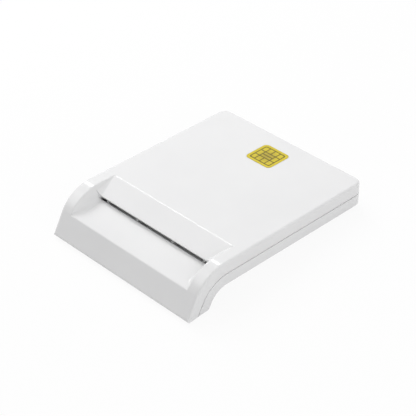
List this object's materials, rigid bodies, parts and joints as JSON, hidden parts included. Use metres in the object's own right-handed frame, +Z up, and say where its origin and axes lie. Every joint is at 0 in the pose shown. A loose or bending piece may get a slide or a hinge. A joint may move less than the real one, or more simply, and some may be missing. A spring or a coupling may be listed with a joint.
{
  "type": "smart card reader",
  "caption": "Desktop smart card reader: a flat slab on a raised front hook, with a finger recess leading into the card slot and a data socket at the rear.",
  "frame": {"origin": "middle of the bounding box at the level of the surface that the feet stand on", "axes": "+X to the right across the card slot, +Y from the front hook to the rear socket, +Z up from the table"},
  "size_m": [0.07, 0.0866, 0.0156],
  "materials": {
    "white_housing": "moulded white ABS with a fine satin grain and a soft gloss",
    "gold_print": "gold-yellow printed label, satin",
    "dark_print": "olive-brown printed lines",
    "rubber": "matt black rubber",
    "screw_steel": "zinc-plated steel",
    "board_green": "green solder mask on glass-fibre board",
    "black_insulator": "glass-filled black plastic",
    "contact_gold": "gold-plated spring bronze",
    "chip_black": "moulded black package",
    "tinned": "tinned copper",
    "crystal_can": "drawn metal can",
    "ceramic_tan": "tan ceramic",
    "socket_steel": "nickel-plated stamped steel"
  },
  "bodies": {
    "root": {"top_cover": "white_housing", "bottom_cover": "white_housing", "symbol_plate": "gold_print", "symbol_lines": "dark_print", "front_left_foot": "rubber", "front_right_foot": "rubber", "rear_left_foot": "rubber", "rear_right_foot": "rubber", "housing_screws": "screw_steel", "circuit_board": "board_green", "board_screws": "screw_steel", "contact_frame": "black_insulator", "contact_tails": "contact_gold", "switch_blade": "contact_gold", "control_chip": "chip_black", "chip_legs": "tinned", "crystal": "crystal_can", "capacitors": "ceramic_tan", "resistors": "chip_black", "regulator": "chip_black", "socket_shell": "socket_steel", "socket_tongue": "black_insulator", "socket_strips": "contact_gold"},
    "contact_1": {"contact_spring_1": "contact_gold"},
    "contact_2": {"contact_spring_2": "contact_gold"},
    "contact_3": {"contact_spring_3": "contact_gold"},
    "contact_4": {"contact_spring_4": "contact_gold"},
    "contact_5": {"contact_spring_5": "contact_gold"},
    "contact_6": {"contact_spring_6": "contact_gold"},
    "contact_7": {"contact_spring_7": "contact_gold"},
    "contact_8": {"contact_spring_8": "contact_gold"},
    "switch": {"switch_lever": "contact_gold"}
  },
  "joints": [
    {"name": "contact_1_press", "type": "hinge", "parent": "root", "child": "contact_1", "pos_m": [-0.00691, 0.00282, 0.00793], "axis": [-1, 0, 0], "range_deg": [0, 6.8], "stiffness_Nm_per_rad": 0.022},
    {"name": "contact_2_press", "type": "hinge", "parent": "root", "child": "contact_2", "pos_m": [-0.00437, 0.00282, 0.00793], "axis": [-1, 0, 0], "range_deg": [0, 6.8], "stiffness_Nm_per_rad": 0.022},
    {"name": "contact_3_press", "type": "hinge", "parent": "root", "child": "contact_3", "pos_m": [-0.00183, 0.00282, 0.00793], "axis": [-1, 0, 0], "range_deg": [0, 6.8], "stiffness_Nm_per_rad": 0.022},
    {"name": "contact_4_press", "type": "hinge", "parent": "root", "child": "contact_4", "pos_m": [0.00071, 0.00282, 0.00793], "axis": [-1, 0, 0], "range_deg": [0, 6.8], "stiffness_Nm_per_rad": 0.022},
    {"name": "contact_5_press", "type": "hinge", "parent": "root", "child": "contact_5", "pos_m": [-0.00691, 0.02298, 0.00636], "axis": [1, 0, 0], "range_deg": [0, 6.8], "stiffness_Nm_per_rad": 0.022},
    {"name": "contact_6_press", "type": "hinge", "parent": "root", "child": "contact_6", "pos_m": [-0.00437, 0.02298, 0.00636], "axis": [1, 0, 0], "range_deg": [0, 6.8], "stiffness_Nm_per_rad": 0.022},
    {"name": "contact_7_press", "type": "hinge", "parent": "root", "child": "contact_7", "pos_m": [-0.00183, 0.02298, 0.00636], "axis": [1, 0, 0], "range_deg": [0, 6.8], "stiffness_Nm_per_rad": 0.022},
    {"name": "contact_8_press", "type": "hinge", "parent": "root", "child": "contact_8", "pos_m": [0.00071, 0.02298, 0.00636], "axis": [1, 0, 0], "range_deg": [0, 6.8], "stiffness_Nm_per_rad": 0.022},
    {"name": "switch_press", "type": "hinge", "parent": "root", "child": "switch", "pos_m": [0.0098, 0.01865, 0.0067], "axis": [-1, 0, 0], "range_deg": [0, 6.8], "stiffness_Nm_per_rad": 0.015}
  ]
}
